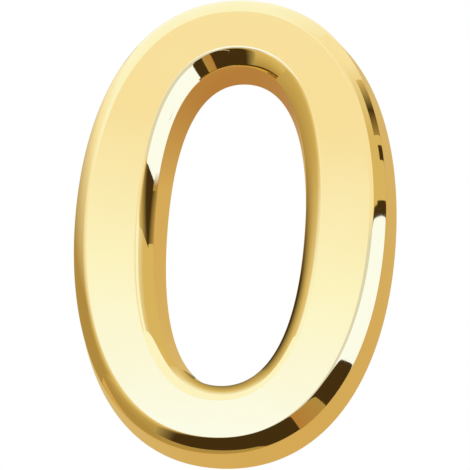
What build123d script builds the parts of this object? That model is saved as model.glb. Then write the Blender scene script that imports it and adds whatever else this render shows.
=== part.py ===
from build123d import *
from math import cos, isclose, radians, tan
import os

# Door number in the shape of a figure 0, moulded in one piece and hollow behind.
# It stands in the XZ plane, Z up. The back rim lies at Y = 0 and the front faces -Y.

# Overall size, with the height and width taken at the back rim
height = 50.0
width = 34.0
thickness = 6.5

# Width of the figure's stroke at the back rim, at its two sides and at its top and bottom
side_stroke = 9.65
end_stroke = 8.4

# Fullness of the ovals, next to their sides and next to their top and bottom.
# 0.552 draws an ellipse, and a larger value a squarer oval.
outline_fullness = (0.55, 0.685)
opening_fullness = (0.65, 0.655)

# Both walls lean towards the middle of the stroke as they come forward
draft_angle = 6.8

# Bevels at 45 degrees between the walls and the flat front, outside and round the opening
outline_bevel = 1.3
opening_bevel = 1.5

# Rounding of the bevels where they meet the front, and where they meet the walls
crest_radius = 0.8
shoulder_radius = 0.4

# Thickness left round the hollow back
wall = 2.4

# Margin within which an edge counts as lying at a level
edge_margin = 0.01

# Sizes that follow from the ones above
opening_width = width - 2 * side_stroke
opening_height = height - 2 * end_stroke
lean = tan(radians(draft_angle))
wall_at_rim = wall / cos(radians(draft_angle))
shoulder_levels = (thickness - outline_bevel, thickness - opening_bevel)
hollow_levels = (0, thickness - wall)


def skin_insets(bevel):
    """Levels in front of the rim where the skin turns, and how far it has moved in from the rim at each."""
    shoulder_level = thickness - bevel
    shoulder_inset = shoulder_level * lean
    return ((0, 0), (shoulder_level, shoulder_inset), (thickness, shoulder_inset + bevel))


def hollow_inset(level):
    """How far the wall of the hollow has moved in from the back rim."""
    return wall_at_rim + level * lean


def oval(level, oval_width, oval_height, fullness):
    """Oval face at a level in front of the rim, drawn as four mirrored curves."""
    side = oval_width / 2
    top = oval_height / 2
    side_fullness, top_fullness = fullness
    with BuildSketch(Plane.XZ.offset(level)) as face:
        with BuildLine():
            Bezier((side, 0), (side, side_fullness * top), (top_fullness * side, top), (0, top))
            mirror(about=Plane.YZ)
            mirror(about=Plane.XZ)
        make_face()
    return face.sketch.face()


def outline(level, inset):
    """The outline of the figure, drawn in by an inset."""
    return oval(level, width - 2 * inset, height - 2 * inset, outline_fullness)


def opening(level, inset):
    """The opening in the middle of the figure, grown by an inset."""
    return oval(level, opening_width + 2 * inset, opening_height + 2 * inset, opening_fullness)


def is_shoulder(edge):
    """Whether an edge lies where a wall turns into its bevel."""
    return any(isclose(edge.center().Y, -level, abs_tol=edge_margin) for level in shoulder_levels)


# Space behind the front: a ring that follows the figure, one wall thickness inside its skin
with BuildPart() as hollow:
    loft([outline(level, hollow_inset(level)) for level in hollow_levels])
    loft([opening(level, hollow_inset(level)) for level in hollow_levels], mode=Mode.SUBTRACT)

with BuildPart() as door_number:
    # Leaning walls and bevels, outside and round the opening
    loft([outline(*turn) for turn in skin_insets(outline_bevel)], ruled=True)
    loft([opening(*turn) for turn in skin_insets(opening_bevel)], ruled=True, mode=Mode.SUBTRACT)

    # Both edges of each bevel are rounded, first at the wall and then at the front
    fillet(door_number.edges().filter_by(is_shoulder), shoulder_radius)
    fillet(door_number.edges().group_by(Axis.Y)[0], crest_radius)

    add(hollow.part, mode=Mode.SUBTRACT)

door_number.part.label = "door_number"
os.makedirs("parts", exist_ok=True)
export_step(door_number.part, "parts/door_number.step")
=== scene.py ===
from math import cos, radians, sin, tan

import bpy
import numpy as np
from mathutils import Matrix, Vector


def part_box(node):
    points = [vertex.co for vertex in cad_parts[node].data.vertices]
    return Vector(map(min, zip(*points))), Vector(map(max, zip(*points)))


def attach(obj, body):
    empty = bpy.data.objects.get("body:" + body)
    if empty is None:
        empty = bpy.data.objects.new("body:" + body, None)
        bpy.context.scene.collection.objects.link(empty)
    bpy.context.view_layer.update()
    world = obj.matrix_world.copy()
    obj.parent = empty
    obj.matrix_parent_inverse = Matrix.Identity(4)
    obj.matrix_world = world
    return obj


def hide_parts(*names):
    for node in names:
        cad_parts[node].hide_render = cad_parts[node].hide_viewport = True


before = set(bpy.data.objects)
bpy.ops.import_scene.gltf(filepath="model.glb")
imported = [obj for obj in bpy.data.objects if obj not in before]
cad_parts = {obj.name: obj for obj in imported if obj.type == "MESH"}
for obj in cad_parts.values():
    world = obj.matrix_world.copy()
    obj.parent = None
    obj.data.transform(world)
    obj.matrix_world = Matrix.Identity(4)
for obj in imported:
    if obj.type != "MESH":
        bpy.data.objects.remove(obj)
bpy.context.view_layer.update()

# A gold-plated door number in the shape of a figure 0, hollow behind.
# Lengths in this script are in millimetres in the part's own frame: Z up, front towards -Y.
MM = 0.001

# Sizes of the moulding that its box doesn't give, the same as in the part's source
SIDE_STROKE = 9.65
END_STROKE = 8.4
OUTLINE_FULLNESS = (0.55, 0.685)
OPENING_FULLNESS = (0.65, 0.655)
DRAFT = radians(6.8)
OUTLINE_BEVEL = 1.3
OPENING_BEVEL = 1.5
BEVEL_ANGLE = radians(45)
CREST_RADIUS = 0.8
SHOULDER_RADIUS = 0.4
WALL = 2.4

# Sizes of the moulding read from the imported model
low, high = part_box("door_number")
WIDTH, THICKNESS, HEIGHT = (high - low) / MM

# How far the bevels' normals fan out to each side, because moulded bevels are a little crowned
CROWN = radians(8)

# Fineness of the mesh
STEPS_A_QUARTER = 160
ARC_STEPS = 10
FRONT_STEPS = 6
FLOOR_STEPS = 3

FRONT = np.array([0.0, -1.0, 0.0])


def quarter(fullness, t):
    """Points and slopes of a quarter of an oval of half size 1, from its side to its top."""
    side, top = fullness
    s = 1 - t
    x = s**3 + 3 * s**2 * t + 3 * s * t**2 * top
    z = 3 * s**2 * t * side + 3 * s * t**2 + t**3
    slope_x = 3 * (2 * s * t * (top - 1) - t**2 * top)
    slope_z = 3 * (s**2 * side + 2 * s * t * (1 - side))
    return x, z, slope_x, slope_z


def unit_oval(fullness):
    """Points and slopes right round the oval of half size 1, counter-clockwise seen from the front."""
    t = np.arange(STEPS_A_QUARTER) / STEPS_A_QUARTER
    x, z, dx, dz = quarter(fullness, t)
    back_x, back_z, back_dx, back_dz = quarter(fullness, 1 - t)
    return (
        np.concatenate([x, -back_x, -x, back_x]),
        np.concatenate([z, back_z, -z, -back_z]),
        np.concatenate([dx, back_dx, -dx, -back_dx]),
        np.concatenate([dz, -back_dz, -dz, back_dz]),
    )


class Side:
    """One side of the figure's stroke: the outline, or the opening in the middle."""

    def __init__(self, width, height, fullness, inwards):
        self.half_width = width / 2
        self.half_height = height / 2
        self.curve = unit_oval(fullness)
        self.inwards = inwards

    def ring(self, inset, level, normal):
        """Points and normals round the side, at an inset into the stroke and a level in front of the rim.

        The normal is given as in a section: towards the middle of the stroke, and forwards.
        """
        x, z, slope_x, slope_z = self.curve
        half_width = self.half_width + self.inwards * inset
        half_height = self.half_height + self.inwards * inset
        points = np.stack([half_width * x, np.full_like(x, -level), half_height * z], -1)
        out_x, out_z = half_height * slope_z, -half_width * slope_x
        length = np.hypot(out_x, out_z)
        out = np.stack([out_x / length, np.zeros_like(x), out_z / length], -1)
        # The ring doesn't move by quite the inset everywhere, so slopes differ a little round it
        spread = x * out[:, 0] + z * out[:, 2]
        across, forward = normal
        normals = self.inwards * across * out + np.outer(spread * forward, FRONT)
        return points, normals / np.linalg.norm(normals, axis=1, keepdims=True)


lean = tan(DRAFT)
wall_at_rim = WALL / cos(DRAFT)
hollow_depth = THICKNESS - WALL
wall_normal = (-cos(DRAFT), sin(DRAFT))
hollow_normal = (cos(DRAFT), -sin(DRAFT))
back_normal = (0.0, -1.0)

# The section of one side, from the floor of the hollow round the rim to the flat front.
# Each run is smooth, and runs meet at sharp edges. A point is inset, level and normal.
hollow_wall = [(wall_at_rim + level * lean, level, hollow_normal) for level in (hollow_depth, 0)]
rim_face = [(inset, 0, back_normal) for inset in (wall_at_rim, 0)]


def skin(bevel):
    """The leaning wall, the bevel and its rounded edges, as arcs that run into each other."""
    upright, steep, shallow = radians(90) - DRAFT, BEVEL_ANGLE + CROWN, BEVEL_ANGLE - CROWN
    depth = bevel + SHOULDER_RADIUS * tan((BEVEL_ANGLE - DRAFT) / 2) * cos(DRAFT)
    crest_depth = CREST_RADIUS * (1 - cos(shallow))
    shoulder_depth = SHOULDER_RADIUS * (cos(steep) - cos(upright))
    bevel_radius = (depth - crest_depth - shoulder_depth) / (cos(shallow) - cos(steep))
    arcs = ((SHOULDER_RADIUS, upright, steep), (bevel_radius, steep, shallow), (CREST_RADIUS, shallow, 0))
    level = THICKNESS - depth
    inset = level * lean
    points = [(0, 0, wall_normal), (inset, level, wall_normal)]
    for radius, start, end in arcs:
        for angle in np.linspace(start, end, ARC_STEPS + 1)[1:]:
            across = inset + radius * (sin(start) - sin(angle))
            forward = level + radius * (cos(angle) - cos(start))
            points.append((across, forward, (-sin(angle), cos(angle))))
        inset, level = points[-1][:2]
    return points


def span(start, end, steps, normal):
    """Rings across a flat face, from one side of the stroke to the other."""
    shares = np.linspace(0, 1, steps + 1)
    normals = np.tile(normal, (len(start), 1))
    return [(start + share * (end - start), normals) for share in shares]


outline = Side(WIDTH, HEIGHT, OUTLINE_FULLNESS, -1)
opening = Side(WIDTH - 2 * SIDE_STROKE, HEIGHT - 2 * END_STROKE, OPENING_FULLNESS, 1)
outline_sections = (hollow_wall, rim_face, skin(OUTLINE_BEVEL))
opening_sections = (hollow_wall, rim_face, skin(OPENING_BEVEL))
outline_runs = [[outline.ring(*point) for point in section] for section in outline_sections]
opening_runs = [[opening.ring(*point) for point in section] for section in opening_sections]
front_run = span(outline_runs[-1][-1][0], opening_runs[-1][-1][0], FRONT_STEPS, FRONT)
floor_run = span(opening_runs[0][0][0], outline_runs[0][0][0], FLOOR_STEPS, -FRONT)
runs = [*outline_runs, front_run, *[run[::-1] for run in opening_runs[::-1]], floor_run]
HOLLOW_RUNS = (0, len(runs) - 2, len(runs) - 1)


def build_moulding():
    """The whole skin as one closed mesh of four-sided faces, with its normals."""
    around = 4 * STEPS_A_QUARTER
    ring_count = sum(len(run) - 1 for run in runs)
    here = np.arange(around)
    ahead = (here + 1) % around
    points, faces, normals, in_hollow = [], [], [], []
    for number, run in enumerate(runs):
        for (start, start_normals), (end, end_normals) in zip(run[:-1], run[1:]):
            first = len(points) * around
            second = (len(points) + 1) % ring_count * around
            points.append(start)
            faces.append(np.stack([first + here, first + ahead, second + ahead, second + here], -1))
            corner_normals = [start_normals, start_normals[ahead], end_normals[ahead], end_normals]
            normals.append(np.stack(corner_normals, 1))
            in_hollow.append(np.full(around, float(number in HOLLOW_RUNS)))
    mesh = bpy.data.meshes.new("moulding")
    mesh.from_pydata(np.concatenate(points) * MM, [], np.concatenate(faces).tolist())
    mesh.shade_smooth()
    mesh.normals_split_custom_set(np.concatenate(normals).reshape(-1, 3).tolist())
    hollow = mesh.attributes.new("hollow", "FLOAT", "FACE")
    hollow.data.foreach_set("value", np.concatenate(in_hollow))
    piece = bpy.data.objects.new("moulding", mesh)
    bpy.context.collection.objects.link(piece)
    return piece


class Nodes:
    """A short way to write node trees."""

    def __init__(self, tree):
        self.tree = tree
        tree.nodes.clear()

    def add(self, kind, inputs=(), **settings):
        node = self.tree.nodes.new("ShaderNode" + kind)
        for name, value in settings.items():
            setattr(node, name, value)
        for name, value in dict(inputs).items():
            socket = node.inputs[name]
            if isinstance(value, bpy.types.NodeSocket):
                self.tree.links.new(value, socket)
            else:
                socket.default_value = value
        return node

    def noise(self, scale, detail):
        """Soft variation over the object, from 0 to 1. The scale is about how many features lie in a metre."""
        place = self.add("TexCoord").outputs["Object"]
        return self.add("TexNoise", {"Vector": place, "Scale": scale, "Detail": detail}).outputs["Fac"]

    def share_along(self, direction, start, end):
        """How far a place lies between two distances along a direction, from 0 to 1."""
        place = self.add("TexCoord").outputs["Object"]
        distance = self.add("VectorMath", {0: place, 1: direction}, operation="DOT_PRODUCT").outputs["Value"]
        return self.add("MapRange", {"Value": distance, "From Min": start * MM, "From Max": end * MM}).outputs[0]

    def between(self, share, limits):
        """Number between two limits."""
        low, high = limits
        return self.add("MapRange", {"Value": share, "To Min": low, "To Max": high}).outputs[0]

    def ramp(self, share, stops):
        """Colour that passes through stops. Each is a position from 0 to 1 and a colour."""
        node = self.add("ValToRGB", {"Fac": share})
        elements = node.color_ramp.elements
        # A ramp has two stops at first. Others start halfway, and then all of them are set in order.
        for _ in stops[2:]:
            elements.new(0.5)
        for element, (position, colour) in zip(elements, stops):
            element.position, element.color = position, colour
        return node.outputs["Color"]

    def mix_colours(self, share, start, end):
        """Colour between two others. The Mix node's sockets for colours follow those for numbers and vectors."""
        node = self.add("Mix", {"Factor": share, 6: start, 7: end}, data_type="RGBA")
        return node.outputs[2]


def new_material(name):
    material = bpy.data.materials.new(name)
    material.use_nodes = True
    return material, Nodes(material.node_tree)


# Colours of the plating, which varies a little between two tones, and of the hollow
DEEP_GOLD = (0.915, 0.68, 0.31, 1)
PALE_GOLD = (0.925, 0.695, 0.33, 1)
HOLLOW_GOLD = (0.78, 0.55, 0.22, 1)

# Roughness of the plating, from least to most
SKIN_ROUGHNESS = (0.03, 0.055)
HOLLOW_ROUGHNESS = (0.28, 0.4)

# Heights of the plating's waves and of its orange peel
WAVE_HEIGHT = 0.004
PEEL_HEIGHT = 0.001


def gold_plating():
    """Bright gold electroplating, a little wavy as plated mouldings are, and duller in the hollow."""
    material, nodes = new_material("gold_plating")
    hollow = nodes.add("Attribute", attribute_name="hollow").outputs["Fac"]

    cloud = nodes.noise(scale=110.0, detail=3.0)
    skin_colour = nodes.ramp(cloud, [(0.3, DEEP_GOLD), (0.7, PALE_GOLD)])
    colour = nodes.mix_colours(hollow, skin_colour, HOLLOW_GOLD)

    film = nodes.noise(scale=420.0, detail=4.0)
    bright = nodes.between(film, SKIN_ROUGHNESS)
    dull = nodes.between(film, HOLLOW_ROUGHNESS)
    roughness = nodes.add("Mix", {"Factor": hollow, "A": bright, "B": dull}).outputs["Result"]

    swell = nodes.noise(scale=70.0, detail=1.0)
    peel = nodes.noise(scale=650.0, detail=2.0)
    wave = nodes.add("Bump", {"Height": swell, "Strength": 1.0, "Distance": WAVE_HEIGHT * MM})
    wavy_skin = nodes.add("Bump", {
        "Height": peel, "Strength": 1.0, "Distance": PEEL_HEIGHT * MM, "Normal": wave.outputs[0],
    })

    shader = nodes.add("BsdfPrincipled", {
        "Base Color": colour, "Metallic": 1.0, "Roughness": roughness, "Normal": wavy_skin.outputs[0],
    })
    nodes.add("OutputMaterial", {"Surface": shader.outputs[0]})
    return material


moulding = build_moulding()
moulding.data.materials.append(gold_plating())
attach(moulding, "root")
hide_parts("door_number")

# The camera is near the photograph's: a little to the right of the figure and below it
CAMERA_AZIMUTH = radians(8.476)
CAMERA_ELEVATION = radians(-13.279)
CAMERA_ROLL = radians(3.734)
CAMERA_DISTANCE = 367.7
SENSOR_WIDTH = 36.0
NEAREST_SEEN = 10

# The photograph's scale at the figure, and where the figure's middle lies in it, in pixels from its centre
IMAGE_WIDTH = 470
PIXELS_A_MM = 9.455
ORIGIN_RIGHT = 0.9
ORIGIN_UP = -0.5


def place_camera():
    back = Vector((
        sin(CAMERA_AZIMUTH) * cos(CAMERA_ELEVATION),
        -cos(CAMERA_AZIMUTH) * cos(CAMERA_ELEVATION),
        sin(CAMERA_ELEVATION),
    ))
    level_right = Vector((cos(CAMERA_AZIMUTH), sin(CAMERA_AZIMUTH), 0))
    level_up = back.cross(level_right)
    right = cos(CAMERA_ROLL) * level_right + sin(CAMERA_ROLL) * level_up
    up = back.cross(right)
    aim = -(ORIGIN_RIGHT * right + ORIGIN_UP * up) / PIXELS_A_MM
    lens = bpy.data.cameras.new("camera")
    lens.sensor_width = SENSOR_WIDTH
    lens.lens = SENSOR_WIDTH * CAMERA_DISTANCE * PIXELS_A_MM / IMAGE_WIDTH
    lens.clip_start = NEAREST_SEEN * MM
    camera = bpy.data.objects.new("camera", lens)
    turn = Matrix((right, up, back)).transposed().to_4x4()
    camera.matrix_world = Matrix.Translation((aim + CAMERA_DISTANCE * back) * MM) @ turn
    bpy.context.collection.objects.link(camera)
    bpy.context.scene.camera = camera


place_camera()

# Tones of the cards, from the brightest to the darkest. The cool ones offset the blue that gold takes away.
COOL = (1.06, 1.42, 2.5)
WHITE = (1.06, 1.3, 1.6)
CREAM = (1.02, 1.08, 1.03)
GREY = (0.78, 0.95, 1.3)
GOLD = (0.74, 0.65, 0.33)
ORANGE = (0.71, 0.54, 0.22)
BROWN = (0.47, 0.37, 0.15)
RUST = (0.5, 0.29, 0.11)
DARK = (0.06, 0.04, 0.015)
BRIGHTEST = max(COOL)

# Directions along which the tones change
RIGHTWARDS = (1, 0, 0)
BACKWARDS = (0, 1, 0)
UPWARDS = (0, 0, 1)


def sheet_of(name, points, faces, material):
    """A thin sheet, staged round the object."""
    mesh = bpy.data.meshes.new(name)
    mesh.from_pydata([Vector(point) * MM for point in points], [], faces)
    mesh.materials.append(material)
    made = bpy.data.objects.new(name, mesh)
    bpy.context.collection.objects.link(made)
    return made


def as_share(tone):
    """A tone as a share of the brightest level, so that a ramp's colours stay within 1."""
    return (*(channel / BRIGHTEST for channel in tone), 1)


def gradient(nodes, tones, at, along):
    """Colour that passes from tone to tone along a direction, each reached at its own distance."""
    start, end = at[0], at[-1]
    positions = [(distance - start) / (end - start) for distance in at]
    return nodes.ramp(nodes.share_along(along, start, end), list(zip(positions, map(as_share, tones))))


def card(name, sheet, *tones, at=None, along=UPWARDS, one_sided=False, fade=None):
    """A glowing studio card that shows only in reflections, where it paints light or shade into the plating, in
    one plain tone or as a gradient between a few.

    A one-sided card shows only from the side its corners run round anticlockwise. A card that fades grows clear
    in a direction, between two distances.
    """
    material, nodes = new_material(name)
    colour = gradient(nodes, tones, at, along) if at else as_share(tones[0])
    surface = nodes.add("Emission", {"Color": colour, "Strength": BRIGHTEST}).outputs[0]
    clear = nodes.add("BsdfTransparent").outputs[0]
    if one_sided:
        behind = nodes.add("NewGeometry").outputs["Backfacing"]
        surface = nodes.add("MixShader", {0: behind, 1: surface, 2: clear}).outputs[0]
    if fade:
        surface = nodes.add("MixShader", {0: nodes.share_along(*fade), 1: surface, 2: clear}).outputs[0]
    nodes.add("OutputMaterial", {"Surface": surface})
    made = sheet_of(name, *sheet, material)
    made.visible_camera = False
    made.visible_diffuse = False
    made.visible_shadow = False


def flat_sheet(corners):
    return corners, [range(len(corners))]


def rectangle(first_ends, second_ends):
    """Corners of a rectangle in order, from where it begins and ends in each of two directions."""
    (a, b), (c, d) = first_ends, second_ends
    return [(a, c), (b, c), (b, d), (a, d)]


def facing_sheet(xs, zs, y):
    """An upright sheet that faces the figure."""
    return flat_sheet([(x, y, z) for x, z in rectangle(xs, zs)])


def level_sheet(xs, ys, z):
    return flat_sheet([(x, y, z) for x, y in rectangle(xs, ys)])


def side_sheet(x, corners):
    """An upright sheet that runs from front to back at one x. Its corners are y and z."""
    return flat_sheet([(x, y, z) for y, z in corners])


def leaning_sheet(start, end, ys):
    """A sheet that runs from front to back. It starts and ends at two points of the front view, x and z."""
    (x_start, z_start), (x_end, z_end) = start, end
    y_front, y_back = ys
    return flat_sheet([(x_start, y_front, z_start), (x_end, y_front, z_end),
                       (x_end, y_back, z_end), (x_start, y_back, z_start)])


def curved_sheet(azimuths, distance, zs):
    """An upright sheet bent round the object, between two azimuths in degrees."""
    degrees_a_face = 5
    start, end = azimuths
    count = round(abs(end - start) / degrees_a_face)
    points = []
    for azimuth in np.radians(np.linspace(start, end, count + 1)):
        for z in zs:
            points.append((distance * sin(azimuth), -distance * cos(azimuth), z))
    return points, [(2 * i, 2 * i + 2, 2 * i + 3, 2 * i + 1) for i in range(count)]


# Front softbox, brightest and coolest low down, with a dim gap low on its right
SOFTBOX_SIDES = (-200, 75)
SOFTBOX_SEAM = 152
SOFTBOX_Y = -420
card("softbox", facing_sheet(SOFTBOX_SIDES, zs=(-70, SOFTBOX_SEAM), y=SOFTBOX_Y),
     COOL, WHITE, CREAM, at=(43, 82, 117), along=(0.1, 0, 1))
card("softbox_top", facing_sheet(SOFTBOX_SIDES, zs=(SOFTBOX_SEAM, 420), y=SOFTBOX_Y),
     WHITE, CREAM, at=(-20, 60), along=RIGHTWARDS)
card("front_gap", curved_sheet(azimuths=(0, 48), distance=200, zs=(-90, 62)), GREY, CREAM, at=(40, 48))
card("front_right", curved_sheet(azimuths=(8, 60), distance=205, zs=(58, 260)), CREAM)

# Bright window that leans outwards on the right, with dark strips above and below it, then a brown one.
# These are the points of the front view where they end, from the top down.
STRIP_TOP = (98, 28)
WINDOW_TOP = (83, 19.5)
WINDOW_FOOT = (36, -20.6)
STRIP_FOOT = (29.5, -31)
BROWN_FOOT = (19, -34)
card("strip_above", leaning_sheet(WINDOW_TOP, STRIP_TOP, ys=(-60, 20)), DARK)
card("window", leaning_sheet(WINDOW_FOOT, WINDOW_TOP, ys=(-60, 20)), COOL)
card("strip_below", leaning_sheet(WINDOW_FOOT, STRIP_FOOT, ys=(-110, 20)), DARK)
card("brown_strip", leaning_sheet(STRIP_FOOT, BROWN_FOOT, ys=(-125, 20)), RUST, BROWN, at=(-34, -31))

# Dark things close by on the right, higher up
NEAR_RIGHT = 30
card("dark_patch", side_sheet(NEAR_RIGHT, rectangle((-7, 6), (33, 18.5))), BROWN, DARK, GOLD, at=(17, 24, 33))
card("dark_line", side_sheet(NEAR_RIGHT, rectangle((-5.2, 6), (16.6, 13.9))), DARK)
card("dark_end", side_sheet(NEAR_RIGHT, rectangle((-9.6, 6), (7.4, 5.2))), DARK)

# Table below the figure, with a sloping dark sheet on it under the figure's front: a painted shadow of the
# figure
TABLE_SIDES = (-175, 175)
TABLE_FRONT, TABLE_SEAM, TABLE_BACK = -175, 10, 175
TABLE_Z = -62
table_shadow_corners = [(19, -125, -34), (-34, -125, -54), (-34, -8, -54), (8, -6, -38.15), (19, 2, -34)]
card("table_shadow", flat_sheet(table_shadow_corners), GOLD, DARK, at=(-42, -18), along=RIGHTWARDS)
card("table_front", level_sheet(TABLE_SIDES, ys=(TABLE_FRONT, TABLE_SEAM), z=TABLE_Z),
     GOLD, BROWN, at=(-60, -10), along=BACKWARDS)
card("table_back", level_sheet(TABLE_SIDES, ys=(TABLE_SEAM, TABLE_BACK), z=TABLE_Z), ORANGE)

# Warm surroundings from the left round the back to the right, and a pale ceiling
LEFT_AZIMUTHS = (-20, -125)
LEFT_DISTANCE = 165
LEFT_SEAM = -10
ROOM_FOOT = -70
BACK_TOP = 130
card("warm_left_low", curved_sheet(LEFT_AZIMUTHS, LEFT_DISTANCE, zs=(ROOM_FOOT, LEFT_SEAM)),
     CREAM, GOLD, BROWN, at=(-170, -110, -20), along=BACKWARDS)
card("warm_left", curved_sheet(LEFT_AZIMUTHS, LEFT_DISTANCE, zs=(LEFT_SEAM, 260)),
     BROWN, CREAM, WHITE, at=(5, 75, 120), along=(0, -0.4, 1))
card("warm_back_left", curved_sheet(azimuths=(-125, -150), distance=162, zs=(ROOM_FOOT, BACK_TOP)),
     BROWN, ORANGE, at=(-131, -85), along=RIGHTWARDS)
card("warm_back", curved_sheet(azimuths=(-150, -250), distance=160, zs=(ROOM_FOOT, BACK_TOP)), ORANGE)
card("warm_right", curved_sheet(azimuths=(60, 112), distance=105, zs=(ROOM_FOOT, 220)),
     GOLD, CREAM, at=(60, 130))
card("overhead", level_sheet(xs=(-220, 220), ys=(-300, 200), z=235),
     WHITE, CREAM, at=(0, 140), along=RIGHTWARDS)

# An oval behind the opening: painted shade of a backdrop in the figure's shadow, orange and darker rust towards
# the top
BEHIND_HALF_WIDTH, BEHIND_HALF_HEIGHT = 10, 19
BEHIND_Y = 1.5
angles = np.radians(range(0, 360, 10))
oval = [(BEHIND_HALF_WIDTH * cos(angle), BEHIND_Y, BEHIND_HALF_HEIGHT * sin(angle)) for angle in angles]
card("painted_shade_behind_opening", flat_sheet(oval), ORANGE, RUST, at=(5, 14))

# Over the opening's lower end: two cards in the opening that fade towards its sides, and one in front of it
FOOT_Z = -15.4
FOOT_FRONT_Z = -12
FOOT_SEAM = -6.3
foot_halves = (("opening_foot_left", (-7, 0), (-1, 0, 0)), ("opening_foot_right", (0, 7), (1, 0, 0)))
for name, xs, outwards in foot_halves:
    card(name, level_sheet(xs, ys=(0, FOOT_SEAM), z=FOOT_Z), WHITE, GOLD, DARK, at=(-6.4, -5.4, -3.4),
         along=(0.08, 1, 0), one_sided=True, fade=(outwards, 2.5, 5.2))
foot_corners = [(-8, FOOT_SEAM), (8, FOOT_SEAM), (5.5, -15), (2.5, -26), (-8, -26)]
card("opening_foot_front", flat_sheet([(x, y, FOOT_FRONT_Z) for x, y in foot_corners]), WHITE, one_sided=True)

# What the opening's right side shows. The upper card fades into the lower one.
RIGHT_TOP_X = 2.4
RIGHT_X = 2.2
RIGHT_FOOT = -15
right_top_corners = [(-24, -4), (0, -4), (0, 14.6), (-7, 15), (-26, 18.2)]
right_corners = [(-20, FOOT_FRONT_Z), (FOOT_SEAM, FOOT_FRONT_Z), (FOOT_SEAM, RIGHT_FOOT), (0, RIGHT_FOOT),
                 (0, 12), (-24, 12)]
card("opening_right_top", side_sheet(RIGHT_TOP_X, right_top_corners),
     CREAM, GOLD, BROWN, at=(-22, -10, -3), along=BACKWARDS, one_sided=True, fade=((0, 0, -1), -8, 4))
card("opening_right", side_sheet(RIGHT_X, right_corners),
     WHITE, GOLD, DARK, at=(-11, -5.9, -3.1), along=BACKWARDS, one_sided=True)

# What the opening's left side shows: three cards in the opening, and two in front of it, one a dark wedge
LEFT_X = -3
LEFT_FRONT, LEFT_BACK = -5.85, 1.4
MIDDLE_TOP, MIDDLE_FOOT = 4.2, -1
card("opening_left_top", side_sheet(LEFT_X, rectangle((LEFT_FRONT, -4.4), (14.5, MIDDLE_TOP))),
     BROWN, COOL, at=(4.7, 6), one_sided=True)
card("opening_left_middle", side_sheet(LEFT_X, rectangle((LEFT_FRONT, LEFT_BACK), (MIDDLE_TOP, MIDDLE_FOOT))),
     DARK, BROWN, at=(-6, -4.4), along=BACKWARDS, one_sided=True)
card("opening_left_low", side_sheet(LEFT_X, rectangle((LEFT_FRONT, LEFT_BACK), (MIDDLE_FOOT, FOOT_Z))),
     GOLD, one_sided=True)

WEDGE_X = -1
wedge_top = [(-30, 11), (-16, 8.6), (-9.5, 6.9), (-6, 5.4)]
wedge_foot = [(-30, 8), (-9, 1), (-6, -0.8)]
card("wedge", side_sheet(WEDGE_X, wedge_top + wedge_foot[::-1]),
     CREAM, GOLD, DARK, at=(-16, -9.5, -6.6), along=(0, 1, 0.44), one_sided=True)
card("opening_left_front", side_sheet(WEDGE_X, wedge_foot + [(-6, -16), (-30, -16)]),
     WHITE, GOLD, at=(-13, -8), along=BACKWARDS, one_sided=True)

# Strengths of the light from all round, and of the white that shows
SOFT_LIGHT = 0.7
PLAIN_WHITE = 1.0


def white_surroundings():
    """Soft even light, and plain white for what the camera and the plating see of the surroundings."""
    world = bpy.data.worlds.new("surroundings")
    world.use_nodes = True
    bpy.context.scene.world = world
    nodes = Nodes(world.node_tree)
    path = nodes.add("LightPath").outputs
    seen = nodes.add("Math", {0: path["Is Camera Ray"], 1: path["Is Glossy Ray"]}, operation="MAXIMUM")
    seen = nodes.add("Math", {0: seen.outputs[0], 1: path["Is Transmission Ray"]}, operation="MAXIMUM")
    soft = nodes.add("Background", {"Color": (1, 1, 1, 1), "Strength": SOFT_LIGHT})
    white = nodes.add("Background", {"Color": (1, 1, 1, 1), "Strength": PLAIN_WHITE})
    mixed = nodes.add("MixShader", {0: seen.outputs[0], 1: soft.outputs[0], 2: white.outputs[0]})
    nodes.add("OutputWorld", {"Surface": mixed.outputs[0]})


# The floor lies far below the figure, out of the photograph's view
FLOOR_Z = -450
FLOOR_ENDS = (-3000, 3000)
FLOOR_DARK = (0.86, 0.86, 0.86, 1)
FLOOR_PALE = (0.9, 0.9, 0.9, 1)
FLOOR_ROUGHNESS = 0.8


def pale_floor():
    material, nodes = new_material("pale_floor")
    grain = nodes.noise(scale=14.0, detail=5.0)
    tone = nodes.ramp(grain, [(0, FLOOR_DARK), (1, FLOOR_PALE)])
    shader = nodes.add("BsdfPrincipled", {"Base Color": tone, "Roughness": FLOOR_ROUGHNESS})
    nodes.add("OutputMaterial", {"Surface": shader.outputs[0]})
    sheet_of("floor", *level_sheet(FLOOR_ENDS, FLOOR_ENDS, FLOOR_Z), material)


white_surroundings()
pale_floor()

bpy.context.scene.view_settings.view_transform = "Standard"
